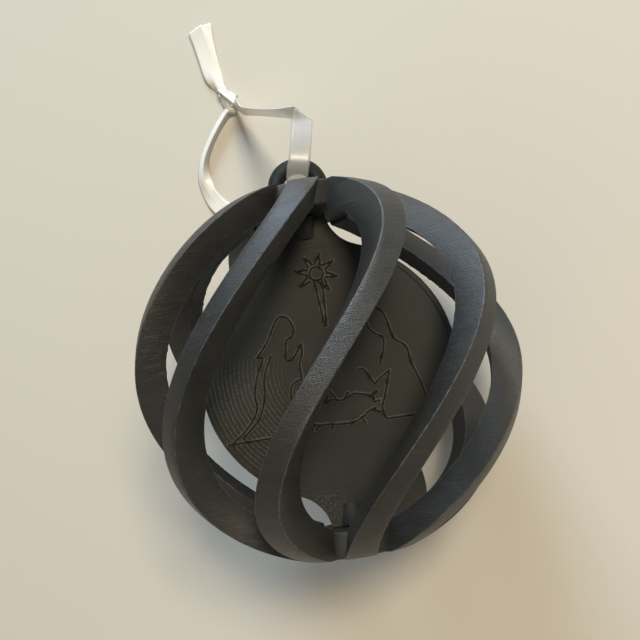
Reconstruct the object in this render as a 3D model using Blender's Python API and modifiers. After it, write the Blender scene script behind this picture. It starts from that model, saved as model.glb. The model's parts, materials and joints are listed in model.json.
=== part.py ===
"""Spinning nativity ornament: a ball-shaped cage of eight twisted ribs with a round medallion that
spins inside it, an eye on top and a looped ribbon. It lies on its side, as on a table.

The cage and the medallion are built upright, with the spin axis on Z and the eye at the top, under
an empty that lays them down: the spin axis then points along +Y. The ribbon is built where it lies.
"""

import math

import bmesh
import bpy
from mathutils import Vector

MM = 0.001
GAP = 0.3 * MM
WELD = 0.01 * MM
SHARP_ANGLE = math.radians(35)
ROUND_SEGMENTS = 48

# The cage: a spherical shell, cut flat at both poles and opened up into twisted ribs.
CAGE_RADIUS = 42 * MM
POLE_FLAT = 40 * MM
RIB_COUNT = 8
RIB_WIDTH = 5.7 * MM
RIB_DEPTH = 6.5 * MM
RIB_TWIST = math.radians(95)
RIB_START = math.radians(22.5)
RIB_STATIONS = 36

# The hubs that gather the ribs at the poles, each with a blind socket for a pivot.
HUB_RADIUS = 11.4 * MM
HUB_FACE = 34.4 * MM
SOCKET_RADIUS = 2.4 * MM
SOCKET_DEPTH = 4 * MM

# The eye for the ribbon, a ring that stands on the upper pole.
EYE_RADIUS = 4.95 * MM
EYE_WIRE = 1.8 * MM
EYE_CENTRE = 41.2 * MM
EYE_TURN = math.radians(21)
EYE_SEGMENTS = (40, 12)

# The medallion: a flat disc with a flared neck, a cone and a pivot at each pole.
MEDALLION_RADIUS = 28.5 * MM
MEDALLION_THICKNESS = 2.2 * MM
MEDALLION_TURN = math.radians(18)
NECK_HALF_WIDTH = 4.8 * MM
NECK_FILLET = 6 * MM
NECK_END = HUB_FACE - 0.8 * MM
CONE_END = HUB_FACE - 0.5 * MM
CONE_WIDE = 4.4 * MM
CONE_START = 29.4 * MM
CONE_NARROW = 2 * MM
PIVOT_RADIUS = 2 * MM
PIVOT_REACH = 3.4 * MM
PIVOT_CHAMFER = 0.6 * MM
ARC_STEP = math.radians(5)

# The ribbon, and the pieces of a band between two points of its route.
RIBBON_WIDTH = 4.8 * MM
RIBBON_THICKNESS = 0.35 * MM
BAND_STEPS = 3
KNOT_HALF_SIZE = (2.7 * MM, 1.5 * MM, 2 * MM)
KNOT_SEGMENTS = (20, 12)

# Routes on the table that the ornament lies on, in millimetres: each point of the ribbon's middle
# line, and the direction across its width there.
KNOT_PLACE = (-31.5, 76.8, 2.6)
KNOT_TURN = math.radians(118)
FRONT_STRAND = [
    ((0.2, 38.4, 41.0), (0.93, 0.0, -0.36)),
    ((0.8, 39.0, 42.3), (0.93, 0.0, -0.36)),
    ((1.6, 40.8, 43.0), (0.91, -0.1, -0.41)),
    ((2.3, 42.6, 43.1), (0.89, -0.15, -0.44)),
    ((2.8, 44.6, 42.8), (0.89, -0.15, -0.44)),
    ((3.1, 47.0, 42.1), (0.91, -0.16, -0.4)),
    ((3.2, 49.4, 41.0), (0.92, -0.17, -0.36)),
    ((3.1, 52.1, 39.3), (0.9, -0.2, -0.4)),
    ((2.9, 54.4, 37.9), (0.35, -0.48, -0.8)),
    ((0.8, 55.4, 36.9), (0.33, -0.42, -0.84)),
    ((-2.7, 56.7, 34.6), (0.46, -0.4, -0.79)),
    ((-8.8, 60.3, 27.2), (0.47, -0.36, -0.8)),
    ((-15.4, 64.4, 19.2), (0.47, -0.36, -0.8)),
    ((-21.2, 68.2, 11.8), (0.42, -0.42, -0.8)),
    ((-25.8, 71.8, 6.2), (0.05, -0.75, -0.65)),
    ((-28.3, 74.2, 3.7), (-0.2, -0.7, -0.6)),
]
BACK_STRAND = [
    ((-0.2, 38.4, 40.2), (0.93, 0.0, -0.36)),
    ((-0.8, 38.6, 38.6), (0.93, 0.0, -0.36)),
    ((-3.1, 40.0, 35.5), (0.93, 0.1, -0.5)),
    ((-8.4, 40.6, 30.0), (0.8, 0.5, -0.4)),
    ((-15.2, 40.0, 22.0), (0.5, 0.8, -0.2)),
    ((-22.5, 40.4, 13.8), (0.3, 0.9, 0.0)),
    ((-30.0, 42.2, 6.2), (0.35, 0.94, 0.0)),
    ((-35.9, 45.9, 1.5), (0.6, 0.8, 0.0)),
    ((-39.5, 49.4, 0.8), (0.72, 0.68, 0.05)),
    ((-41.7, 53.6, 1.2), (0.82, 0.4, 0.35)),
    ((-41.8, 57.6, 2.3), (0.5, 0.1, 0.85)),
    ((-40.5, 61.7, 2.6), (0.25, 0.0, 0.97)),
    ((-38.1, 65.6, 2.6), (0.2, 0.0, 0.98)),
    ((-35.0, 69.3, 2.6), (0.2, 0.0, 0.98)),
    ((-32.0, 72.3, 2.6), (0.2, 0.0, 0.98)),
    ((-30.6, 73.6, 2.7), (0.2, 0.0, 0.98)),
]
LEFT_TAIL = [
    ((-33.2, 80.1, 2.2), (0.93, 0.3, 0.05)),
    ((-33.9, 82.4, 2.0), (0.93, 0.3, 0.03)),
    ((-34.6, 85.0, 1.6), (0.93, 0.3, 0.0)),
    ((-35.4, 89.4, 1.3), (0.93, 0.3, 0.0)),
    ((-36.4, 94.8, 1.4), (0.93, 0.33, 0.05)),
    ((-37.2, 98.6, 1.8), (0.93, 0.36, 0.1)),
]
RIGHT_TAIL = [
    ((-32.6, 79.8, 1.3), (-0.97, -0.2, 0.0)),
    ((-33.6, 82.5, 1.0), (-0.97, -0.2, 0.0)),
    ((-34.4, 85.3, 0.7), (-0.97, -0.2, 0.0)),
    ((-34.9, 89.6, 0.5), (-0.97, -0.2, 0.0)),
    ((-35.2, 94.8, 0.5), (-0.97, -0.18, 0.0)),
    ((-35.1, 99.5, 0.6), (-0.98, -0.16, 0.0)),
]

CHARCOAL = (0.030, 0.031, 0.030, 1)
BLACK = (0.022, 0.022, 0.020, 1)
CREAM_WHITE = (0.80, 0.78, 0.72, 1)


def clear_scene():
    for old in list(bpy.data.objects):
        bpy.data.objects.remove(old)


def new_collection(name):
    collection = bpy.data.collections.new(name)
    bpy.context.scene.collection.children.link(collection)
    return collection


def new_material(name, colour, roughness):
    material = bpy.data.materials.new(name)
    material.use_nodes = True
    shader = material.node_tree.nodes["Principled BSDF"]
    shader.inputs["Base Color"].default_value = colour
    shader.inputs["Roughness"].default_value = roughness
    shader.inputs["Metallic"].default_value = 0
    return material


def new_object(name, data, collection, material=None, parent=None):
    piece = bpy.data.objects.new(name, data)
    collection.objects.link(piece)
    piece.parent = parent
    if material:
        data.materials.append(material)
    return piece


def finished(bm, name):
    """The bmesh as a mesh whose faces point out, shaded smooth up to its sharp edges."""
    bmesh.ops.recalc_face_normals(bm, faces=bm.faces)
    mesh = bpy.data.meshes.new(name)
    bm.to_mesh(mesh)
    bm.free()
    mesh.shade_smooth()
    mesh.set_sharp_from_angle(angle=SHARP_ANGLE)
    return mesh


def combine(piece, tool, operation):
    """Cuts a piece with a tool or joins the tool to it. The tool itself stays out of the model."""
    tool.hide_render = True
    tool.display_type = "WIRE"
    change = piece.modifiers.new(tool.name, "BOOLEAN")
    change.operation = operation
    change.solver = "EXACT"
    change.object = tool


def rib_point(across, outside, along):
    """A point of a rib. across and along run from -1 to 1. The shell bounds the rib inside and out,
    and the hub bounds its ends. The rib's turn about the axis grows evenly with its height."""
    height = CAGE_RADIUS * math.sin(along * math.asin(POLE_FLAT / CAGE_RADIUS))
    side = across * RIB_WIDTH / 2
    used = height**2 + side**2
    if outside:
        reach = math.sqrt(CAGE_RADIUS**2 - used)
    else:
        shell = math.sqrt(max((CAGE_RADIUS - RIB_DEPTH) ** 2 - used, 0))
        hub = math.sqrt((HUB_RADIUS + GAP) ** 2 - side**2)
        reach = max(shell, hub)
    turn = RIB_TWIST * height / (2 * POLE_FLAT)
    cos, sin = math.cos(turn), math.sin(turn)
    return Vector((reach * cos - side * sin, reach * sin + side * cos, height))


def rib_mesh():
    """A box with a ring of edges at each station, bent to the shape of a rib."""
    bm = bmesh.new()
    bmesh.ops.create_cube(bm, size=2)
    for axis, cuts in ((2, RIB_STATIONS - 1), (1, 1)):
        edges = [e for e in bm.edges if abs(e.verts[0].co[axis] - e.verts[1].co[axis]) > 1]
        bmesh.ops.subdivide_edges(bm, edges=edges, cuts=cuts, use_grid_fill=True)
    for vert in bm.verts:
        vert.co = rib_point(vert.co.y, vert.co.x > 0, vert.co.z)
    return finished(bm, "rib")


def make_ribs(parts, material, upright):
    mesh = rib_mesh()
    mesh.materials.append(material)
    ribs = []
    for index in range(RIB_COUNT):
        rib = new_object(f"rib_{index + 1}", mesh, parts, parent=upright)
        rib.rotation_euler.z = RIB_START + index * 2 * math.pi / RIB_COUNT
        ribs.append(rib)
    return ribs


def drum(name, radius, low, high):
    """An upright round bar between two heights."""
    bm = bmesh.new()
    bmesh.ops.create_cone(
        bm, cap_ends=True, segments=ROUND_SEGMENTS, radius1=radius, radius2=radius, depth=high - low
    )
    bmesh.ops.translate(bm, vec=(0, 0, (low + high) / 2), verts=bm.verts)
    return finished(bm, name)


def make_hubs(parts, tools, material, upright):
    for name, turn in (("top_hub", 0), ("bottom_hub", math.pi)):
        hub = new_object(name, drum(name, HUB_RADIUS, HUB_FACE, POLE_FLAT), parts, material, upright)
        bore = drum(f"{name}_socket", SOCKET_RADIUS, HUB_FACE - SOCKET_DEPTH, HUB_FACE + SOCKET_DEPTH)
        socket = new_object(bore.name, bore, tools, parent=upright)
        hub.rotation_euler.x = turn
        socket.rotation_euler.x = turn
        combine(hub, socket, "DIFFERENCE")


def make_eye(parts, material, upright):
    """A ring through the spin axis, cut off where it meets the flat of the upper pole."""
    major, minor = EYE_SEGMENTS
    bpy.ops.mesh.primitive_torus_add(
        major_radius=EYE_RADIUS, minor_radius=EYE_WIRE, major_segments=major, minor_segments=minor
    )
    ring = bpy.context.object
    bm = bmesh.new()
    bm.from_mesh(ring.data)
    bpy.data.objects.remove(ring)
    for vert in bm.verts:
        x, y, z = vert.co
        vert.co = (x, -z, y + EYE_CENTRE)
    bmesh.ops.bisect_plane(
        bm,
        geom=bm.verts[:] + bm.edges[:] + bm.faces[:],
        plane_co=(0, 0, POLE_FLAT + GAP),
        plane_no=(0, 0, 1),
        clear_inner=True,
    )
    bmesh.ops.holes_fill(bm, edges=[e for e in bm.edges if e.is_boundary])
    eye = new_object("hanging_eye", finished(bm, "hanging_eye"), parts, material, upright)
    eye.rotation_euler.z = EYE_TURN


def arc(centre, radius, start, end):
    """Points along an arc, both ends included."""
    steps = max(2, round(abs(end - start) / ARC_STEP))
    angles = [start + (end - start) * i / steps for i in range(steps + 1)]
    return [(centre[0] + radius * math.cos(a), centre[1] + radius * math.sin(a)) for a in angles]


def medallion_outline():
    """The disc's round edge and the fillets that flare into its two necks, as one closed line."""
    across = NECK_HALF_WIDTH + NECK_FILLET
    up = math.sqrt((MEDALLION_RADIUS + NECK_FILLET) ** 2 - across**2)
    lean = math.atan2(up, across)
    side = arc((0, 0), MEDALLION_RADIUS, -lean, lean)
    neck = arc((across, up), NECK_FILLET, lean + math.pi, math.pi)[1:] + [(NECK_HALF_WIDTH, NECK_END)]
    half = side + neck + [(-x, y) for x, y in reversed(neck)]
    return half + [(-x, -y) for x, y in half]


def disc_mesh():
    """The outline as a filled curve of the disc's thickness, made a mesh and stood upright."""
    flat = bpy.data.curves.new("medallion_outline", "CURVE")
    flat.dimensions = "2D"
    flat.fill_mode = "BOTH"
    flat.extrude = MEDALLION_THICKNESS / 2
    points = medallion_outline()
    spline = flat.splines.new("POLY")
    spline.points.add(len(points) - 1)
    for point, (x, y) in zip(spline.points, points):
        point.co = (x, y, 0, 1)
    spline.use_cyclic_u = True
    guide = new_object("medallion_outline", flat, bpy.context.scene.collection)
    evaluated = guide.evaluated_get(bpy.context.evaluated_depsgraph_get())
    bm = bmesh.new()
    bm.from_mesh(bpy.data.meshes.new_from_object(evaluated))
    bpy.data.objects.remove(guide)
    bmesh.ops.remove_doubles(bm, verts=bm.verts, dist=WELD)
    for vert in bm.verts:
        x, y, z = vert.co
        vert.co = (x, -z, y)
    return finished(bm, "medallion")


def pivot_profile():
    """Radii and heights from the pivot's tip, down its outer side, to the narrow end of its cone."""
    tip = HUB_FACE + PIVOT_REACH
    return [
        (0, tip),
        (PIVOT_RADIUS - PIVOT_CHAMFER, tip),
        (PIVOT_RADIUS, tip - PIVOT_CHAMFER),
        (PIVOT_RADIUS, CONE_END),
        (CONE_WIDE, CONE_END),
        (CONE_NARROW, CONE_START),
        (0, CONE_START),
    ]


def turned(name, profile, collection, parent):
    """A profile turned around the Z axis."""
    bm = bmesh.new()
    verts = [bm.verts.new((radius, 0, height)) for radius, height in profile]
    for pair in zip(verts, verts[1:]):
        bm.edges.new(pair)
    mesh = bpy.data.meshes.new(name)
    bm.to_mesh(mesh)
    bm.free()
    piece = new_object(name, mesh, collection, parent=parent)
    screw = piece.modifiers.new("turn", "SCREW")
    screw.steps = ROUND_SEGMENTS
    screw.render_steps = ROUND_SEGMENTS
    screw.use_merge_vertices = True
    screw.merge_threshold = WELD
    return piece


def make_medallion(parts, tools, material, spin):
    medallion = new_object("medallion", disc_mesh(), parts, material, spin)
    for name, turn in (("upper_pivot", 0), ("lower_pivot", math.pi)):
        pivot = turned(name, pivot_profile(), tools, spin)
        pivot.rotation_euler.x = turn
        combine(medallion, pivot, "UNION")


def smooth_route(values):
    """A smooth curve through the values, with BAND_STEPS pieces between two of them."""
    points = [Vector(v) for v in values]
    held = [2 * points[0] - points[1]] + points + [2 * points[-1] - points[-2]]
    result = []
    for a, b, c, d in zip(held, held[1:], held[2:], held[3:]):
        for i in range(BAND_STEPS):
            t = i / BAND_STEPS
            bend = (2 * a - 5 * b + 4 * c - d) * t**2 + (3 * b - a - 3 * c + d) * t**3
            result.append(b + ((c - a) * t + bend) / 2)
    return result + [points[-1]]


def make_band(name, route, parts, material):
    """A flat band: a narrow grid laid along the route, with the ribbon's thickness."""
    middle = [p * MM for p in smooth_route([place for place, _ in route])]
    widths = smooth_route([width for _, width in route])
    last = len(middle) - 1
    bm = bmesh.new()
    bmesh.ops.create_grid(bm, x_segments=1, y_segments=last, size=1)
    for vert in bm.verts:
        i = round((vert.co.y + 1) / 2 * last)
        along = middle[min(i + 1, last)] - middle[max(i - 1, 0)]
        across = (widths[i] - widths[i].project(along)).normalized()
        vert.co = middle[i] + across * (vert.co.x * RIBBON_WIDTH / 2)
    band = new_object(name, finished(bm, name), parts, material)
    wall = band.modifiers.new("thickness", "SOLIDIFY")
    wall.thickness = RIBBON_THICKNESS
    wall.offset = 0


def make_knot(parts, material):
    bm = bmesh.new()
    around, up = KNOT_SEGMENTS
    bmesh.ops.create_uvsphere(bm, u_segments=around, v_segments=up, radius=1)
    bmesh.ops.scale(bm, vec=KNOT_HALF_SIZE, verts=bm.verts)
    knot = new_object("ribbon_knot", finished(bm, "ribbon_knot"), parts, material)
    knot.location = Vector(KNOT_PLACE) * MM
    knot.rotation_euler.z = KNOT_TURN


def lay_down(upright, ribs):
    """Lays the cage on two of its ribs and centres it, without the ribbon, over the origin."""
    upright.rotation_euler.x = -math.pi / 2
    bpy.context.view_layer.update()
    lowest = min((rib.matrix_world @ vert.co).z for rib in ribs for vert in rib.data.vertices)
    eye_top = EYE_CENTRE + EYE_RADIUS + EYE_WIRE
    upright.location = (0, (POLE_FLAT - eye_top) / 2, -lowest)


def build():
    clear_scene()
    parts = new_collection("spinning_nativity_ornament")
    tools = new_collection("cutters")
    charcoal = new_material("charcoal_print", CHARCOAL, 0.5)
    black = new_material("black_print", BLACK, 0.55)
    cream = new_material("cream_ribbon", CREAM_WHITE, 0.35)

    upright = new_object("upright", None, parts)
    spin = new_object("medallion_spin", None, parts, parent=upright)
    spin.rotation_euler.z = MEDALLION_TURN

    ribs = make_ribs(parts, charcoal, upright)
    make_hubs(parts, tools, charcoal, upright)
    make_eye(parts, charcoal, upright)
    make_medallion(parts, tools, black, spin)
    lay_down(upright, ribs)

    make_band("ribbon_front_strand", FRONT_STRAND, parts, cream)
    make_band("ribbon_back_strand", BACK_STRAND, parts, cream)
    make_band("ribbon_left_tail", LEFT_TAIL, parts, cream)
    make_band("ribbon_right_tail", RIGHT_TAIL, parts, cream)
    make_knot(parts, cream)


build()
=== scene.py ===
import json
import math
import random

import bmesh
import bpy
from mathutils import Matrix, Vector, noise
from mathutils.kdtree import KDTree


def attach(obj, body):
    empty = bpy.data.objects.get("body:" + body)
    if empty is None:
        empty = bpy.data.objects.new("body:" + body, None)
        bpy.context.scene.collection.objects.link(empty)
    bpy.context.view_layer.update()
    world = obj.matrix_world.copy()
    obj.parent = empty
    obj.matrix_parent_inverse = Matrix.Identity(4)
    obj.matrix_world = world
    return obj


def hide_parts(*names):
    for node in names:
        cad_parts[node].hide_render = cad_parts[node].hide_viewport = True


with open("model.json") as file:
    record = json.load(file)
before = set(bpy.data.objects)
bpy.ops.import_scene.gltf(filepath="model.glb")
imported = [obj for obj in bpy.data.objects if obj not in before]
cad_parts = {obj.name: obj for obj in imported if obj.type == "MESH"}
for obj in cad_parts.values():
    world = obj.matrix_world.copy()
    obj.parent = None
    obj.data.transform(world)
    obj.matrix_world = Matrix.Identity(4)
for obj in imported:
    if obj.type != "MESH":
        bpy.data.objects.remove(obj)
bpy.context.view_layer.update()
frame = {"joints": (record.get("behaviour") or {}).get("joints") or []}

# The ribs: eight twisted bars that make the ball-shaped cage, printed in charcoal plastic in one go
# with the hubs and the eye. The layers of the print lie across the spin axis, so that each rib is a
# stack of thin slices, which show as fine lines and streaks on its sides.
MM = 0.001
ball_radius = 42 * MM
pole_flat = 40 * MM
rib_count = 8
rib_layers = 250
rib_width = 5.7 * MM
rib_depth = 6.5 * MM
rib_twist = math.radians(95)
rib_start = math.radians(22.5)
rib_corner_share = 0.09
rib_side_cuts = 3
rib_flare = 0.9 * MM
rib_flare_start = 26 * MM
rib_root = 0.2 * MM
rib_sharp_angle = math.radians(29)
layer_height = 2 * pole_flat / rib_layers
layer_wander = 0.007 * MM
layer_groove = 0.03 * MM
layer_seed = 7
droop = 0.3 * MM
droop_spacing = 0.8 * MM
overhang_reach = 12 * MM
hub_radius = 11.4 * MM

charcoal = (0.0095, 0.0100, 0.0096)
charcoal_worn = (0.020, 0.0208, 0.0197)
# A pale colour painted along the ribs' rounded edges as a highlight.
charcoal_edge_highlight = (0.11, 0.11, 0.105)
charcoal_fleck = (0.07, 0.068, 0.06)
charcoal_gloss = 0.8
fleck_cover = 0.4
print_roughness = 0.28
strand_roughness = 0.26
patch_roughness = 0.08
plain_streak = 0.5
strand_rise = 0.25
grain_rise = 0.35
half_layer_rise = 1.2
streak_rise = 1.1
print_bump = 0.64
print_bump_depth = 0.05 * MM

# Scales of the finish's noises, in features to the metre, and their stretch along X, Y and Z.
strand_scale = 1000
strand_stretch = (0.25, 5, 0.25)
grain_scale = 5200
patch_scale = 160
edge_breakup_scale = 700
fleck_scale = 2400
fleck_stretch = (0.7, 2, 0.7)

spin_joint = frame["joints"][0]
ball_centre = Vector(spin_joint["pos_m"])
lying = Matrix.Translation(ball_centre) @ Matrix.Rotation(-math.pi / 2, 4, "X")
slips = random.Random(layer_seed)
layer_slips = [slips.uniform(-1, 1) * layer_wander for layer in range(rib_layers)]


class Wire:
    """A socket of a material. Arithmetic on it adds Math nodes, and node() adds any other node."""

    def __init__(self, socket):
        self.socket = socket
        self.tree = socket.id_data

    def node(self, kind, settings, inputs, output=0):
        """Adds a node: first its settings are set, then the values or links of its sockets."""
        added = self.tree.nodes.new(kind)
        for name, value in settings.items():
            setattr(added, name, value)
        for name, value in inputs.items():
            if isinstance(value, Wire):
                self.tree.links.new(value.socket, added.inputs[name])
            else:
                added.inputs[name].default_value = value
        return Wire(added.outputs[output])

    def maths(self, operation, *values):
        return self.node("ShaderNodeMath", {"operation": operation}, dict(enumerate(values)))

    def __add__(self, other):
        return self.maths("ADD", self, other)

    def __sub__(self, other):
        return self.maths("SUBTRACT", self, other)

    def __rsub__(self, other):
        return self.maths("SUBTRACT", other, self)

    def __mul__(self, other):
        return self.maths("MULTIPLY", self, other)

    __radd__ = __add__
    __rmul__ = __mul__

    def axis(self, letter):
        """One coordinate of this wire's place."""
        return self.node("ShaderNodeSeparateXYZ", {}, {"Vector": self}, letter)

    def attribute(self, name):
        """A value that the mesh holds for each of its vertices."""
        return self.node("ShaderNodeAttribute", {"attribute_name": name}, {}, "Fac")

    def wave(self):
        """Up to 1 and down to 0 once for each full turn of this wire's angle."""
        return self.maths("SINE", self) * 0.5 + 0.5

    def noise(self, scale, detail=2, stretch=(1, 1, 1)):
        """Noise from 0 to 1 over this wire's coordinates."""
        where = self.node("ShaderNodeMapping", {}, {"Vector": self, "Scale": stretch})
        return self.node("ShaderNodeTexNoise", {}, {"Vector": where, "Scale": scale, "Detail": detail})

    def between(self, low, high):
        """0 below low, 1 above high and a smooth step between them."""
        settings = {"interpolation_type": "SMOOTHSTEP"}
        return self.node("ShaderNodeMapRange", settings, {"Value": self, "From Min": low, "From Max": high})

    def shades(self, *colours):
        """The first of two colours where this wire is 0, the second where it is 1."""
        first, second = [c if isinstance(c, Wire) else (*c, 1) for c in colours]
        return self.node("ShaderNodeMix", {"data_type": "RGBA"}, {0: self, 6: first, 7: second}, 2)

    def feed(self, shader, name):
        self.tree.links.new(self.socket, shader.inputs[name])

    def emboss(self, shader, strength, depth):
        """Makes this wire the height of the shader's surface."""
        inputs = {"Strength": strength, "Distance": depth, "Height": self}
        self.node("ShaderNodeBump", {}, inputs).feed(shader, "Normal")


def new_finish(name):
    """A material, its shader and the piece's own coordinates, in metres."""
    material = bpy.data.materials.new(name)
    material.use_nodes = True
    nodes = material.node_tree.nodes
    return material, nodes["Principled BSDF"], Wire(nodes.new("ShaderNodeTexCoord").outputs["Object"])


def layered_print(name, plain, worn_shade, gloss):
    """Satin plastic laid down in layers across the spin axis, with random grain and flecks, and a painted
    highlight in pale broken lines along the long edges.
    """
    material, shader, place = new_finish(name)
    turns = place.axis("Y") * (2 * math.pi / layer_height)
    strands = place.noise(strand_scale, 3, strand_stretch)
    grain = place.noise(grain_scale)
    patches = place.noise(patch_scale, 3)
    tone = strands * 0.5 + patches * 0.5
    edge_breakup = place.noise(edge_breakup_scale, 3) * 0.7 + strands * 0.5
    # Pale broken lines along the rounded long edges: a painted highlight where the edges catch the light.
    edge_highlight = place.attribute("rib_edge") * edge_breakup.between(0.45, 0.75)
    flecks = place.noise(fleck_scale, 1, fleck_stretch).between(0.58, 0.72) * fleck_cover
    plastic = tone.between(0.42, 0.72).shades(plain, worn_shade)
    plastic = flecks.shades(plastic, charcoal_fleck)
    edge_highlight.shades(plastic, charcoal_edge_highlight).feed(shader, "Base Color")
    roughness = print_roughness + strand_roughness * strands + patch_roughness * patches
    roughness.feed(shader, "Roughness")
    shader.inputs["Specular IOR Level"].default_value = gloss
    streaks = turns.wave() * (plain_streak + (1 - plain_streak) * strands.between(0.4, 0.6))
    height = strands * strand_rise + grain * grain_rise
    height = height + (turns * 2).wave() * half_layer_rise + streaks * streak_rise
    height.emboss(shader, print_bump, print_bump_depth)
    return material


def finished(bm, name, material, body, slot, *nodes):
    """Makes the mesh a piece that rides on a body and stands for CAD nodes."""
    mesh = bpy.data.meshes.new(name)
    bm.to_mesh(mesh)
    bm.free()
    mesh.materials.append(material)
    mesh.shade_smooth()
    piece = bpy.data.objects.new(name, mesh)
    bpy.context.scene.collection.objects.link(piece)
    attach(piece, body)
    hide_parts(*nodes)
    return piece


def rib_point(outward, across, ring):
    """A point of a rib, inwards to outwards from -1 to 1, on a ring of edges of the print's layers."""
    height = pole_flat * (ring / rib_layers - 1)
    slip = layer_slips[ring // 2] if ring % 2 else -layer_groove
    flare = max(0, abs(height) - rib_flare_start) / (pole_flat - rib_flare_start)
    side = across * (rib_width / 2 + slip) + rib_flare * flare**2 * (across + 1) / 2
    used = height**2 + side**2
    outside = math.sqrt(ball_radius**2 - used) + slip
    shell = math.sqrt(max((ball_radius - rib_depth) ** 2 - used, 0)) - slip
    overhang = max(0, min(1, height / overhang_reach))
    shell -= droop * overhang * max(0, noise.noise(Vector((side, height, 0)) / droop_spacing))
    inside = max(shell, math.sqrt((hub_radius - rib_root) ** 2 - side**2))
    reach = inside + (outside - inside) * (outward + 1) / 2
    turn = rib_twist * height / (2 * pole_flat)
    cos, sin = math.cos(turn), math.sin(turn)
    return Vector((reach * cos - side * sin, reach * sin + side * cos, height))


def printed_rib():
    """A box with rounded long edges and a ring of edges in and between the layers, bent to a rib."""
    bm = bmesh.new()
    bmesh.ops.create_cube(bm, size=2)
    long_edges = [e for e in bm.edges if abs(e.verts[0].co.z - e.verts[1].co.z) > 1]
    bmesh.ops.bevel(
        bm, geom=long_edges, offset=rib_corner_share, affect="EDGES", segments=2, profile=0.5, material=-1
    )
    wide = [e for e in bm.edges if abs(e.verts[0].co.y - e.verts[1].co.y) > 1]
    bmesh.ops.subdivide_edges(bm, edges=wide, cuts=rib_side_cuts, use_grid_fill=True)
    long_edges = [e for e in bm.edges if abs(e.verts[0].co.z - e.verts[1].co.z) > 1]
    bmesh.ops.subdivide_edges(bm, edges=long_edges, cuts=2 * rib_layers - 1, use_grid_fill=True)
    edges = bm.verts.layers.float.new("rib_edge")
    for vert in bm.verts:
        corner = min(abs(vert.co.x), abs(vert.co.y))
        vert[edges] = 1 if 1 - rib_corner_share < corner < 1 else 0
        vert.co = rib_point(vert.co.x, vert.co.y, round((vert.co.z + 1) * rib_layers))
    bmesh.ops.recalc_face_normals(bm, faces=bm.faces)
    return bm


cage_finish = layered_print("charcoal_print", charcoal, charcoal_worn, charcoal_gloss)
rib_pattern = printed_rib()
for index in range(rib_count):
    bm = rib_pattern.copy()
    around = Matrix.Rotation(rib_start + index * 2 * math.pi / rib_count, 4, "Z")
    bmesh.ops.transform(bm, matrix=lying @ around, verts=bm.verts)
    rib = finished(bm, f"printed_rib_{index + 1}", cage_finish, "cage", "charcoal_print", f"rib_{index + 1}")
    rib.data.set_sharp_from_angle(angle=rib_sharp_angle)
rib_pattern.free()

# The hubs: the round ends of the cage that gather the ribs at the poles. They are printed with the
# ribs, flat outside, and each has a blind socket inside for a pivot of the medallion.
hub_face = 34.4 * MM
hub_socket = 2.4 * MM
hub_socket_floor = 38.4 * MM
hub_chamfer = 0.35 * MM
hub_sunk = 0.02 * MM
hub_steps = 96
hub_sharp_angle = math.radians(30)
weld_gap = 0.001 * MM


def turned(profile, axis, steps):
    """A profile of points turned all the way around an axis through the origin."""
    bm = bmesh.new()
    line = [bm.verts.new(point) for point in profile]
    edges = [bm.edges.new(pair) for pair in zip(line, line[1:])]
    bmesh.ops.spin(
        bm, geom=line + edges, cent=(0, 0, 0), axis=axis, angle=2 * math.pi, steps=steps, use_merge=True
    )
    bmesh.ops.remove_doubles(bm, verts=bm.verts, dist=weld_gap)
    bmesh.ops.recalc_face_normals(bm, faces=bm.faces)
    return bm


for node, end in (("top_hub", 1), ("bottom_hub", -1)):
    outside = pole_flat - hub_sunk
    profile = [
        (0, outside),
        (hub_radius - hub_chamfer, outside),
        (hub_radius, outside - hub_chamfer),
        (hub_radius, hub_face + hub_chamfer),
        (hub_radius - hub_chamfer, hub_face),
        (hub_socket + hub_chamfer, hub_face),
        (hub_socket, hub_face + hub_chamfer),
        (hub_socket, hub_socket_floor),
        (0, hub_socket_floor),
    ]
    bm = turned([(radius, 0, end * height) for radius, height in profile], (0, 0, 1), hub_steps)
    bmesh.ops.transform(bm, matrix=lying, verts=bm.verts)
    hub = finished(bm, f"printed_{node}", cage_finish, "cage", "charcoal_print", node)
    hub.data.set_sharp_from_angle(angle=hub_sharp_angle)

# The eye: a ring of the same plastic that stands on the upper hub, for the ribbon to pass through. It
# is printed with the hub, and its foot is sunk in the hub's flat outer face.
eye_radius = 4.95 * MM
eye_wire = 1.8 * MM
eye_centre = 41.2 * MM
eye_turn = math.radians(21)
eye_root = 0.6 * MM
eye_sides = 28
eye_steps = 80
eye_sharp_angle = math.radians(40)
eye_black = (0.011, 0.0115, 0.011)
eye_worn = (0.022, 0.0225, 0.021)
eye_gloss = 0.25

bm = bmesh.new()
section = Matrix.Translation((eye_radius, 0, 0)) @ Matrix.Rotation(math.pi / 2, 4, "X")
ring = bmesh.ops.create_circle(bm, segments=eye_sides, radius=eye_wire, matrix=section)
bmesh.ops.spin(
    bm, geom=ring["verts"] + bm.edges[:], axis=(0, 0, 1), angle=2 * math.pi, steps=eye_steps, use_merge=True
)
stand = Matrix.Rotation(eye_turn, 4, "Z") @ Matrix.Translation((0, 0, eye_centre))
bmesh.ops.transform(bm, matrix=stand @ Matrix.Rotation(math.pi / 2, 4, "X"), verts=bm.verts)
bmesh.ops.bisect_plane(
    bm,
    geom=bm.verts[:] + bm.edges[:] + bm.faces[:],
    plane_co=(0, 0, pole_flat - eye_root),
    plane_no=(0, 0, 1),
    clear_inner=True,
)
bmesh.ops.holes_fill(bm, edges=[e for e in bm.edges if e.is_boundary])
bmesh.ops.transform(bm, matrix=lying, verts=bm.verts)
bmesh.ops.recalc_face_normals(bm, faces=bm.faces)
eye_finish = layered_print("black_eye_print", eye_black, eye_worn, eye_gloss)
eye = finished(bm, "printed_eye", eye_finish, "cage", "charcoal_print", "hanging_eye")
eye.data.set_sharp_from_angle(angle=eye_sharp_angle)

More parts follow.
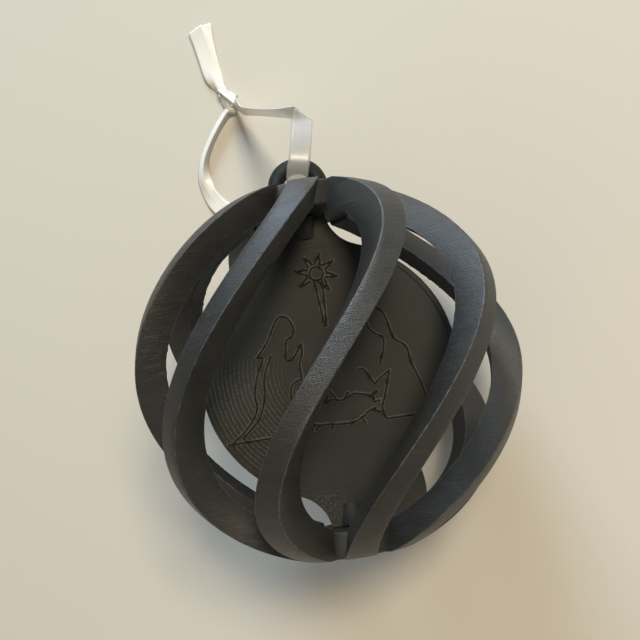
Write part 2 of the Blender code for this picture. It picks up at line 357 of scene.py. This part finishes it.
# The medallion: a flat disc of black plastic, printed on its own and sprung in between the hubs. A
# flared neck, a cone and a pivot at each pole carry it. Both faces are engraved with a nativity scene:
# a star over a manger, with a kneeling figure on each side.
disc_radius = 28.5 * MM
disc_thickness = 2.2 * MM
disc_turn = math.radians(18)
disc_steps = 176
disc_ring = 1.1 * MM
disc_sharp_angle = math.radians(40)
face_slack = 0.02 * MM
rim_chamfer = 0.25 * MM
rim_line = 1.2 * MM
rim_line_depth = 0.12 * MM
neck_half_width = 4.8 * MM
neck_fillet = 9 * MM
neck_fillet_steps = 16
neck_end = 34.1 * MM
neck_sunk = 0.03 * MM
cone_end = 34.1 * MM
cone_wide = 2.9 * MM
cone_start = 29.3 * MM
cone_narrow = 1.9 * MM
cone_round = 0.15 * MM
pivot_radius = 2 * MM
pivot_tip = 37.8 * MM
pivot_chamfer = 0.6 * MM
pivot_steps = 64
groove_depth = 0.5 * MM
groove_half_width = 0.18 * MM
groove_wall = 0.08 * MM
lip_height = 0.06 * MM
lip_width = 0.22 * MM
lip_reach = 0.45 * MM
fine_edge = 0.18 * MM
stroke_steps = 60

disc_black = (0.0108, 0.0118, 0.0103)
disc_worn = (0.0236, 0.0255, 0.0219)
disc_speck = (0.06, 0.06, 0.054)
disc_path_highlight = (0.095, 0.092, 0.074)
disc_lip_highlight = (0.105, 0.103, 0.086)
disc_shadow = (0.002, 0.002, 0.0018)
disc_gloss = 0.3
path_spacing = 0.95 * MM
path_waver = 2
path_cover = 0.65
faint_path = 0.07
lit_path_side = (-13 * MM, -7 * MM)
lit_path_top = (-2 * MM, 9 * MM)
rough_end_reach = (25.6 * MM, 27.2 * MM)
rough_end_fade = (-3 * MM, 1 * MM)
shadow_cover = 0.85
path_rise = 1.5
disc_grain_rise = 0.5
speck_rise = 1.5
disc_bump = 0.4
disc_bump_depth = 0.05 * MM
path_waver_scale = 250
disc_grain_scale = 3600
disc_patch_scale = 120
speck_scale = 2600
lip_highlight_scale = 500

# Strokes of the engraving, in millimetres from the middle of the disc: rightwards, then up.
star_middle = Vector((0.9, 21.4))
star_ring = 1.5
star_ring_steps = 16
star_rays = 8
star_lean = 0.35
star_ray_start = 2.1
star_ray_end = 4.7
star_ray_half_width = 0.6
star_tail = [
    [(0.1, 19.7), (0.55, 14.5), (0.75, 9.6)],
    [(1.9, 19.7), (1.6, 14.5), (1.25, 9.6)],
    [(0.75, 9.6), (1.25, 9.6)],
]
left_figure = [
    [(-6.3, 11.4), (-7.2, 12.9), (-8.9, 13.3), (-10.6, 11.2), (-12.6, 8.0), (-15.2, 5.2)],
    [
        (-15.2, 5.2), (-13.9, 4.8), (-15.4, 2.0), (-16.8, -2.2),
        (-17.1, -6.4), (-20.2, -10.2), (-23.6, -12.6),
    ],
    [(-12.1, 5.0), (-14.1, 1.0), (-15.0, -4.2), (-17.0, -8.4), (-20.6, -11.5)],
    [(-6.3, 11.4), (-6.1, 10.0), (-6.6, 8.7), (-8.0, 8.0), (-8.5, 6.4)],
    [
        (-8.5, 6.4), (-8.8, 4.0), (-7.6, 3.6), (-6.2, 5.0),
        (-5.0, 6.6), (-5.2, 4.4), (-6.1, 2.0), (-6.0, -0.8),
    ],
    [(-6.0, -0.8), (-8.4, -2.0), (-8.9, -4.8), (-6.6, -8.0), (-5.6, -12.6)],
    [(-24.6, -12.7), (-15.0, -12.7)],
]
right_figure = [
    [
        (10.6, 10.6), (11.6, 11.8), (13.2, 11.2), (14.3, 9.2), (15.3, 4.6),
        (17.6, 2.2), (18.2, -1.4), (19.6, -6.6), (20.6, -12.6),
    ],
    [(10.6, 10.6), (10.0, 9.2), (10.2, 7.6), (11.4, 6.2), (12.9, 5.0), (12.8, 3.0), (11.5, -0.4)],
    [(6.6, -0.9), (7.8, -1.4), (9.5, -4.7)],
    [(9.5, -4.7), (11.0, -3.6), (13.2, -2.3)],
    [(13.2, -2.3), (11.3, -7.6), (10.3, -10.2), (10.8, -12.7)],
    [(10.8, -12.7), (17.4, -12.8)],
]
manger = [
    [(-4.8, -12.6), (-3.4, -11.7), (0.4, -12.1), (3.8, -12.2), (6.0, -11.3), (7.2, -10.4), (8.8, -9.9)],
    [
        (-2.6, -7.4), (-0.4, -6.6), (1.4, -7.0), (3.2, -6.7),
        (4.6, -6.1), (6.8, -6.6), (8.6, -7.3), (8.8, -8.8),
    ],
    [(-3.4, -4.6), (-2.2, -4.0), (-1.2, -4.9), (-1.6, -6.4), (-3.0, -6.6), (-3.9, -5.6), (-3.4, -4.6)],
]
straws = [
    [(-0.6, -4.4), (0.8, -6.8)],
    [(8.0, -7.2), (9.6, -6.4)],
    [(8.8, -8.6), (10.0, -8.4)],
    [(8.0, -10.3), (9.7, -10.8)],
    [(5.4, -11.4), (6.2, -12.8)],
    [(2.4, -6.9), (3.4, -5.6)],
    [(-0.9, -12.0), (-1.5, -13.2)],
    [(-3.6, -11.7), (-5.4, -11.2)],
]


def star():
    """Strokes of the star: a ring and the two sides of each ray, but for the ray that is the tail."""
    angles = [2 * math.pi * i / star_ring_steps for i in range(star_ring_steps + 1)]
    lines = [[star_middle + star_ring * Vector((math.cos(a), math.sin(a))) for a in angles]]
    for index in range(star_rays):
        lean = 2 * math.pi * (index + star_lean) / star_rays
        ray = Vector((math.sin(lean), math.cos(lean)))
        aside = Vector((ray.y, -ray.x)) * star_ray_half_width
        if index != star_rays // 2:
            tip = star_middle + ray * star_ray_end
            foot = star_middle + ray * star_ray_start
            lines += [[foot + aside, tip], [foot - aside, tip]]
    return lines


def smooth_line(values, steps):
    """A smooth curve through the values, with a number of steps between two of them."""
    points = [Vector(v) for v in values]
    held = [2 * points[0] - points[1]] + points + [2 * points[-1] - points[-2]]
    line = []
    for a, b, c, d in zip(held, held[1:], held[2:], held[3:]):
        for i in range(steps):
            t = i / steps
            bend = (2 * a - 5 * b + 4 * c - d) * t**2 + (3 * b - a - 3 * c + d) * t**3
            line.append(b + ((c - a) * t + bend) / 2)
    return line + [points[-1]]


def stroke_finder():
    """A lookup of points set close together along all the strokes."""
    strokes = star_tail + left_figure + right_figure + manger + straws + star()
    line = [point * MM for stroke in strokes for point in smooth_line(stroke, stroke_steps)]
    finder = KDTree(len(line))
    for index, point in enumerate(line):
        finder.insert(point.to_3d(), index)
    finder.balance()
    return finder


def stroke_gap(finder, vert):
    """How far a vertex of either face is from the nearest stroke. The back is read from behind."""
    return finder.find((math.copysign(1, -vert.co.y) * vert.co.x, vert.co.z, 0))[2]


def disc_profile():
    """The disc's half section from the middle of one face to the middle of the other."""
    half = disc_thickness / 2
    rings = [disc_ring * i for i in range(int((disc_radius - 2 * rim_line) / disc_ring) + 1)]
    width = rim_line_depth
    face = [(radius, half) for radius in rings]
    face += [(disc_radius - rim_line - width, half), (disc_radius - rim_line, half - rim_line_depth)]
    face += [(disc_radius - rim_line + width, half), (disc_radius - rim_chamfer, half)]
    face += [(disc_radius, half - rim_chamfer)]
    return [(r, -y, 0) for r, y in face] + [(r, y, 0) for r, y in reversed(face)]


def neck_plate(end):
    """The plate between the disc's rim and a pole, with a fillet on each side."""
    across = neck_half_width + neck_fillet
    up = math.sqrt((disc_radius + neck_fillet) ** 2 - across**2)
    low = math.atan2(up, across) + math.pi
    angles = [low + (math.pi - low) * i / neck_fillet_steps for i in range(neck_fillet_steps + 1)]
    side = [(across + neck_fillet * math.cos(a), up + neck_fillet * math.sin(a)) for a in angles]
    outline = [(0, 0)] + side + [(neck_half_width, neck_end)]
    outline += [(-x, z) for x, z in reversed(outline[1:])]
    half = disc_thickness / 2 - neck_sunk
    bm = bmesh.new()
    plate = bm.faces.new([bm.verts.new((x * end, -half, z * end)) for x, z in outline])
    raised = bmesh.ops.extrude_face_region(bm, geom=[plate])["geom"]
    raised = [item for item in raised if isinstance(item, bmesh.types.BMVert)]
    bmesh.ops.translate(bm, vec=(0, 2 * half, 0), verts=raised)
    bmesh.ops.recalc_face_normals(bm, faces=bm.faces)
    return bm


def pivot(end):
    """The cone on the neck and the pin beyond it, turned around the spin axis."""
    profile = [
        (0, pivot_tip),
        (pivot_radius - pivot_chamfer, pivot_tip),
        (pivot_radius, pivot_tip - pivot_chamfer),
        (pivot_radius, cone_end),
        (cone_wide - cone_round, cone_end),
        (cone_wide, cone_end - cone_round),
        (cone_narrow, cone_start + cone_round),
        (cone_narrow - cone_round, cone_start),
        (0, cone_start),
    ]
    return turned([(radius, 0, end * height) for radius, height in profile], (0, 0, 1), pivot_steps)


def joined(first, others):
    """The union of closed meshes, as one mesh."""
    base = bpy.data.objects.new("union", bpy.data.meshes.new("union"))
    first.to_mesh(base.data)
    bpy.context.scene.collection.objects.link(base)
    tools = []
    for index, other in enumerate(others):
        tool = bpy.data.objects.new(f"tool_{index}", bpy.data.meshes.new(f"tool_{index}"))
        other.to_mesh(tool.data)
        bpy.context.scene.collection.objects.link(tool)
        union = base.modifiers.new(tool.name, "BOOLEAN")
        union.operation = "UNION"
        union.solver = "EXACT"
        union.object = tool
        tools.append(tool)
    evaluated = base.evaluated_get(bpy.context.evaluated_depsgraph_get())
    bm = bmesh.new()
    bm.from_mesh(evaluated.to_mesh())
    evaluated.to_mesh_clear()
    for scrap in [base] + tools:
        bpy.data.objects.remove(scrap)
    for used in [first] + others:
        used.free()
    return bm


def on_face(vert):
    return abs(abs(vert.co.y) - disc_thickness / 2) < face_slack


def engraved(bm):
    """Cuts finer triangles along the strokes on both faces, then presses the strokes in."""
    paths = bm.verts.layers.float.new("print_path")
    grooves = bm.verts.layers.float.new("groove")
    lips = bm.verts.layers.float.new("groove_lip")
    bmesh.ops.triangulate(bm, faces=bm.faces)
    finder = stroke_finder()
    chosen = bm.edges[:]
    while chosen:
        gaps = {vert: stroke_gap(finder, vert) for vert in bm.verts if on_face(vert)}
        chosen = []
        for edge in bm.edges:
            length = edge.calc_length()
            first, second = edge.verts
            if length > fine_edge and first in gaps and second in gaps:
                if min(gaps[first], gaps[second]) < lip_reach + length / 2:
                    chosen.append(edge)
        bmesh.ops.subdivide_edges(bm, edges=chosen, cuts=1, use_single_edge=True)
        bmesh.ops.triangulate(bm, faces=bm.faces)
    for vert in filter(on_face, bm.verts):
        gap = stroke_gap(finder, vert)
        wall = max(0, min(1, (groove_half_width + groove_wall - gap) / (2 * groove_wall)))
        wall = wall * wall * (3 - 2 * wall)
        crest = max(0, 1 - abs(gap - groove_half_width - groove_wall) / lip_width)
        vert[paths] = disc_radius - math.hypot(vert.co.x, vert.co.z)
        vert[grooves] = wall
        vert[lips] = crest
        vert.co.y += math.copysign(lip_height * crest - groove_depth * wall, vert.co.y)
    return bm


def black_print():
    """Dull black plastic whose print paths follow the rim and are rough at one end. The paths are painted
    lighter as a highlight, bold on one side; the groove lips are painted lighter as a highlight and the
    grooves darker as shade.
    """
    material, shader, place = new_finish("black_print")
    sideways = place.axis("X")
    along = place.axis("Y") - ball_centre.y
    grain = place.noise(disc_grain_scale)
    patches = place.noise(disc_patch_scale, 3)
    turns = place.attribute("print_path") * (2 * math.pi / path_spacing)
    turns = turns + place.noise(path_waver_scale) * path_waver
    # The print paths are real and raised by the bump. Their lighter colour, bold on the lower left and faint
    # elsewhere, is a painted highlight where they catch the light.
    lit_paths = (1 - sideways.between(*lit_path_side)) * (1 - along.between(*lit_path_top))
    lines = turns.wave().between(0.35, 1) * (faint_path + (1 - faint_path) * lit_paths)
    rough_end = (0 - along).between(*rough_end_reach) * (1 - sideways.between(*rough_end_fade))
    specks = place.noise(speck_scale, 1).between(0.54, 0.64) * rough_end
    # The raised lips of the grooves are painted lighter in broken patches, as a highlight where they catch
    # the light.
    lip_highlight_breakup = place.noise(lip_highlight_scale).between(0.3, 0.55)
    plastic = (patches * 0.65 + grain * 0.35).between(0.3, 0.75).shades(disc_black, disc_worn)
    for amount, shade in (
        (lines * grain.between(0.35, 0.65) * path_cover, disc_path_highlight),
        (place.attribute("groove_lip") * lip_highlight_breakup, disc_lip_highlight),
        (specks, disc_speck),
        (place.attribute("groove") * shadow_cover, disc_shadow),
    ):
        plastic = amount.shades(plastic, shade)
    plastic.feed(shader, "Base Color")
    (0.5 + 0.15 * grain + 0.1 * patches).feed(shader, "Roughness")
    shader.inputs["Specular IOR Level"].default_value = disc_gloss
    height = lines * path_rise + grain * disc_grain_rise + specks * speck_rise
    height.emboss(shader, disc_bump, disc_bump_depth)
    return material


disc = turned(disc_profile(), (0, 1, 0), disc_steps)
bm = engraved(joined(disc, [neck_plate(1), neck_plate(-1), pivot(1), pivot(-1)]))
bmesh.ops.transform(bm, matrix=lying @ Matrix.Rotation(disc_turn, 4, "Z"), verts=bm.verts)
bmesh.ops.recalc_face_normals(bm, faces=bm.faces)
medallion = finished(bm, "engraved_medallion", black_print(), "medallion", "black_print", "medallion")
medallion.data.set_sharp_from_angle(angle=disc_sharp_angle)

# The ribbon: one band of cream curling ribbon, threaded through the eye and knotted into a loop. It is
# thin, a little see-through and creased lengthwise, and its two ends lie free beyond the knot.
ribbon_width = 4.8 * MM
ribbon_thickness = 0.16 * MM
ribbon_cells = 8
ribbon_steps = 8
table_gap = 0.25 * MM
far_below = Vector((0, 0, -10))

# Greys painted on stretches of the cream ribbon as shade.
film_shade_grey = (0.42, 0.43, 0.43)
film_shade_pale = (0.54, 0.55, 0.54)
film_fade = 0.07
ribbon_cream = (0.94, 0.92, 0.85)
ribbon_white = (0.98, 0.965, 0.91)
ribbon_cover = 0.92
ribbon_bump = 0.25
ribbon_bump_depth = 0.04 * MM
ribbon_line_scale = 6
ribbon_line_stretch = (14, 0.6, 1)
ribbon_cloud_scale = 220

# Routes on the table, in millimetres: a point of the middle line, the direction across the ribbon
# there, and how far its two halves droop, in degrees.
front_route = [
    ((0.2, 38.4, 41.0), (0.93, 0.0, -0.36), 0),
    ((0.8, 39.0, 42.3), (0.93, 0.0, -0.36), 0),
    ((1.6, 40.8, 43.0), (0.91, -0.1, -0.41), 0),
    ((2.3, 42.6, 43.1), (0.89, -0.15, -0.44), 0),
    ((2.8, 44.6, 42.8), (0.89, -0.15, -0.44), 0),
    ((3.1, 47.0, 42.1), (0.91, -0.16, -0.4), 0),
    ((3.2, 49.4, 41.0), (0.92, -0.17, -0.36), 0),
    ((3.1, 52.1, 39.3), (0.9, -0.2, -0.4), 0),
    ((2.9, 54.4, 37.9), (0.35, -0.48, -0.8), 0),
    ((0.8, 55.4, 36.9), (0.33, -0.42, -0.84), 0),
    ((-2.7, 56.7, 34.6), (0.46, -0.4, -0.79), 0),
    ((-8.8, 60.3, 27.2), (0.47, -0.36, -0.8), 0),
    ((-15.4, 64.4, 19.2), (0.47, -0.36, -0.8), 0),
    ((-21.2, 68.2, 11.8), (0.42, -0.42, -0.8), 0),
    ((-25.8, 71.8, 6.2), (0.05, -0.75, -0.65), 8),
    ((-28.3, 74.2, 3.7), (-0.2, -0.7, -0.6), 20),
    ((-30.4, 76.8, 2.4), (-0.85, -0.45, 0.1), 66),
    ((-32.6, 79.8, 1.3), (-0.95, -0.25, 0.0), 70),
    ((-33.6, 82.5, 1.0), (-0.97, -0.2, 0.0), 40),
    ((-34.4, 85.3, 0.7), (-0.97, -0.2, 0.0), 8),
    ((-34.9, 89.6, 0.5), (-0.97, -0.2, 0.0), 0),
    ((-35.2, 94.8, 0.5), (-0.97, -0.18, 0.0), 0),
    ((-35.1, 99.5, 0.6), (-0.98, -0.16, 0.0), 0),
]
back_route = [
    ((-0.2, 38.4, 40.2), (0.93, 0.0, -0.36), 0),
    ((-0.8, 38.6, 38.6), (0.93, 0.0, -0.36), 0),
    ((-3.1, 40.0, 35.5), (0.93, 0.1, -0.5), 0),
    ((-8.4, 40.6, 30.0), (0.8, 0.5, -0.4), 0),
    ((-15.2, 40.0, 22.0), (0.5, 0.8, -0.2), 0),
    ((-22.5, 40.4, 13.8), (0.3, 0.9, 0.0), 0),
    ((-30.0, 42.2, 6.2), (0.35, 0.94, 0.0), 0),
    ((-35.9, 45.9, 1.5), (0.6, 0.8, 0.0), 0),
    ((-39.5, 49.4, 0.8), (0.72, 0.68, 0.05), 0),
    ((-41.7, 53.6, 1.2), (0.85, 0.4, 0.25), 12),
    ((-41.8, 57.6, 2.3), (0.96, 0.05, -0.1), 40),
    ((-40.5, 61.7, 2.6), (0.84, -0.3, -0.45), 58),
    ((-38.1, 65.6, 2.6), (0.74, -0.46, -0.5), 62),
    ((-35.0, 69.3, 2.6), (0.65, -0.56, -0.5), 62),
    ((-32.0, 72.3, 2.6), (0.65, -0.5, -0.4), 60),
    ((-30.6, 73.6, 2.7), (0.85, 0.0, 0.1), 45),
    ((-31.6, 76.9, 2.4), (0.75, 0.3, 0.55), 10),
    ((-33.2, 80.1, 2.2), (0.75, 0.3, 0.55), 30),
    ((-33.9, 82.4, 2.0), (0.88, 0.3, 0.3), 20),
    ((-34.6, 85.0, 1.6), (0.93, 0.3, 0.0), 5),
    ((-35.4, 89.4, 1.3), (0.93, 0.3, 0.0), 0),
    ((-36.4, 94.8, 1.4), (0.93, 0.33, 0.1), 0),
    ((-37.2, 98.6, 1.8), (0.93, 0.36, 0.15), 0),
]


def cream_ribbon(name, film_start, film_end, shaded_side, film_cover):
    """Cream ribbon with fine lengthwise lines and a soft gloss. One stretch of it is more see-through, and
    is painted grey there as shade, across its whole width or on one half only.
    """
    material, shader, place = new_finish(name)
    across = place.node("ShaderNodeTexCoord", {}, {}, "UV")
    lines = across.noise(ribbon_line_scale, 2, ribbon_line_stretch)
    tone = lines * 0.6 + place.noise(ribbon_cloud_scale) * 0.4
    along = across.axis("Y")
    # The grey of the see-through stretch is painted shade, on one half only for the back strand; its lower
    # alpha is real.
    shaded_film = along.between(film_start, film_start + film_fade) - along.between(film_end, film_end + film_fade)
    shaded_film = shaded_film * across.axis("X").between(shaded_side, shaded_side + film_fade)
    cream = tone.shades(ribbon_cream, ribbon_white)
    film_shade = tone.shades(film_shade_grey, film_shade_pale)
    shaded_film.shades(cream, film_shade).feed(shader, "Base Color")
    (0.14 + 0.16 * lines).feed(shader, "Roughness")
    lines.emboss(shader, ribbon_bump, ribbon_bump_depth)
    (ribbon_cover - (ribbon_cover - film_cover) * shaded_film).feed(shader, "Alpha")
    return material


def ribbon_band(name, route, under, material, *nodes):
    """A flat band along a route. Where it is creased lengthwise, its halves droop towards a point."""
    middle = [p * MM for p in smooth_line([place for place, _, _ in route], ribbon_steps)]
    widths = smooth_line([width for _, width, _ in route], ribbon_steps)
    droops = smooth_line([(fall, 0) for _, _, fall in route], ribbon_steps)
    last = len(middle) - 1
    bm = bmesh.new()
    bm.loops.layers.uv.new("along_ribbon")
    bmesh.ops.create_grid(bm, x_segments=ribbon_cells, y_segments=last, size=1, calc_uvs=True)
    for vert in bm.verts:
        i = round((vert.co.y + 1) / 2 * last)
        along = middle[min(i + 1, last)] - middle[max(i - 1, 0)]
        across = (widths[i] - widths[i].project(along)).normalized()
        up = along.cross(across).normalized()
        up = up if up.dot(middle[i] - under) > 0 else -up
        fall = math.radians(droops[i].x)
        side = vert.co.x * ribbon_width / 2
        sunk = min(abs(side) * math.sin(fall), max(0, middle[i].z - table_gap))
        vert.co = middle[i] + across * side * math.cos(fall) - up * sunk
    band = finished(bm, name, material, "cage", "cream_ribbon", *nodes)
    wall = band.modifiers.new("thickness", "SOLIDIFY")
    wall.thickness = ribbon_thickness
    wall.offset = 0
    length = sum((b - a).length for a, b in zip(middle, middle[1:]))
    return band, middle, length


front_finish = cream_ribbon(
    "cream_ribbon_front", film_start=-1, film_end=0.34, shaded_side=-1, film_cover=0.44
)
back_finish = cream_ribbon(
    "cream_ribbon_back", film_start=0.43, film_end=0.65, shaded_side=0.47, film_cover=0.85
)
front, front_line, front_length = ribbon_band(
    "ribbon_front", front_route, far_below, front_finish, "ribbon_front_strand", "ribbon_right_tail"
)
back, back_line, back_length = ribbon_band(
    "ribbon_back", back_route, far_below, back_finish, "ribbon_back_strand", "ribbon_left_tail"
)

# The knot: the turn of the same ribbon that is drawn tight around both strands where the loop closes.
# It is gathered to about half its width, and none of it is see-through or painted grey as shade.
knot_middle = Vector((-31.0, 76.8, 2.7)) * MM
knot_route = [
    ((-28.0, 73.8, 3.0), (0.82, 0.57, 0.0), 60),
    ((-28.6, 74.7, 4.2), (0.82, 0.57, 0.0), 62),
    ((-30.4, 76.8, 4.3), (0.8, 0.55, 0.2), 64),
    ((-32.2, 78.9, 3.8), (0.82, 0.52, 0.15), 66),
    ((-32.9, 79.8, 2.6), (0.82, 0.52, 0.0), 66),
    ((-32.3, 79.0, 1.3), (0.82, 0.52, 0.0), 60),
    ((-30.6, 77.0, 0.8), (0.82, 0.55, 0.0), 40),
    ((-29.0, 74.9, 1.1), (0.82, 0.57, 0.0), 50),
    ((-28.1, 73.8, 2.0), (0.82, 0.57, 0.0), 60),
    ((-28.0, 73.8, 3.0), (0.82, 0.57, 0.0), 60),
]
knot_finish = cream_ribbon("cream_ribbon_knot", film_start=-1, film_end=-1, shaded_side=-1, film_cover=1)
knot, _, _ = ribbon_band("ribbon_knot_wrap", knot_route, knot_middle, knot_finish, "ribbon_knot")

# The table: a plain pale top that the ornament lies on. It isn't part of the ornament.
table_colour = (0.65, 0.62, 0.55)
table_pale = tuple(c * 1.04 for c in table_colour)
table_size = 3.0
table_cloud_scale = 6
table_roughness = 0.7
table_gloss = 0.25

bm = bmesh.new()
bmesh.ops.create_grid(bm, x_segments=1, y_segments=1, size=table_size / 2)
table_mesh = bpy.data.meshes.new("table_top")
bm.to_mesh(table_mesh)
bm.free()
table_finish, table_shader, table_place = new_finish("pale_table")
table_place.noise(table_cloud_scale).shades(table_colour, table_pale).feed(table_shader, "Base Color")
table_shader.inputs["Roughness"].default_value = table_roughness
table_shader.inputs["Specular IOR Level"].default_value = table_gloss
table_mesh.materials.append(table_finish)
table = bpy.data.objects.new("table_top", table_mesh)
bpy.context.scene.collection.objects.link(table)

# The light: a cool window beyond the eye, a warm lamp overhead on the right, a faint warm lamp at the
# other end, and a dim room all round.
lamps = {
    "window": ((-0.05, 0.93, 0.35), 1.3, 0.45, 15.8, (0.62, 0.81, 1.0)),
    "ceiling_lamp": ((0.48, 0.25, 0.84), 1.4, 0.34, 13.7, (1.0, 0.85, 0.63)),
    "room_lamp": ((-0.45, -0.77, 0.45), 1.3, 0.5, 1.0, (1.0, 0.80, 0.52)),
}
room_colour = (1.0, 0.99, 0.96, 1)
room_strength = 0.215

for name, (towards, distance, size, power, colour) in lamps.items():
    lamp = bpy.data.lights.new(name, "AREA")
    lamp.energy = power
    lamp.size = size
    lamp.color = colour
    holder = bpy.data.objects.new(name, lamp)
    holder.location = Vector(towards).normalized() * distance
    holder.rotation_euler = Vector(towards).to_track_quat("Z", "Y").to_euler()
    bpy.context.scene.collection.objects.link(holder)

world = bpy.data.worlds.new("room")
world.use_nodes = True
world.node_tree.nodes["Background"].inputs["Color"].default_value = room_colour
world.node_tree.nodes["Background"].inputs["Strength"].default_value = room_strength
bpy.context.scene.world = world
bpy.context.scene.view_settings.view_transform = "Standard"

# The camera: held above the table, leaning over from the right.
camera_place = (0.0774, -0.0171, 0.2432)
camera_back = Vector((0.35648, -0.06040, 0.93235))
camera_up = Vector((0.17714, 0.98418, -0.00397))
camera_lens = 55.35
camera_sensor = 36
camera_shift = (-0.0135, 0.0781)
camera_near = 0.01

view = bpy.data.cameras.new("camera")
view.lens = camera_lens
view.sensor_width = camera_sensor
view.shift_x, view.shift_y = camera_shift
view.clip_start = camera_near
camera = bpy.data.objects.new("camera", view)
camera_right = camera_up.cross(camera_back)
turn = Matrix((camera_right, camera_up, camera_back)).transposed().to_4x4()
camera.matrix_world = Matrix.Translation(camera_place) @ turn
bpy.context.scene.collection.objects.link(camera)
bpy.context.scene.camera = camera
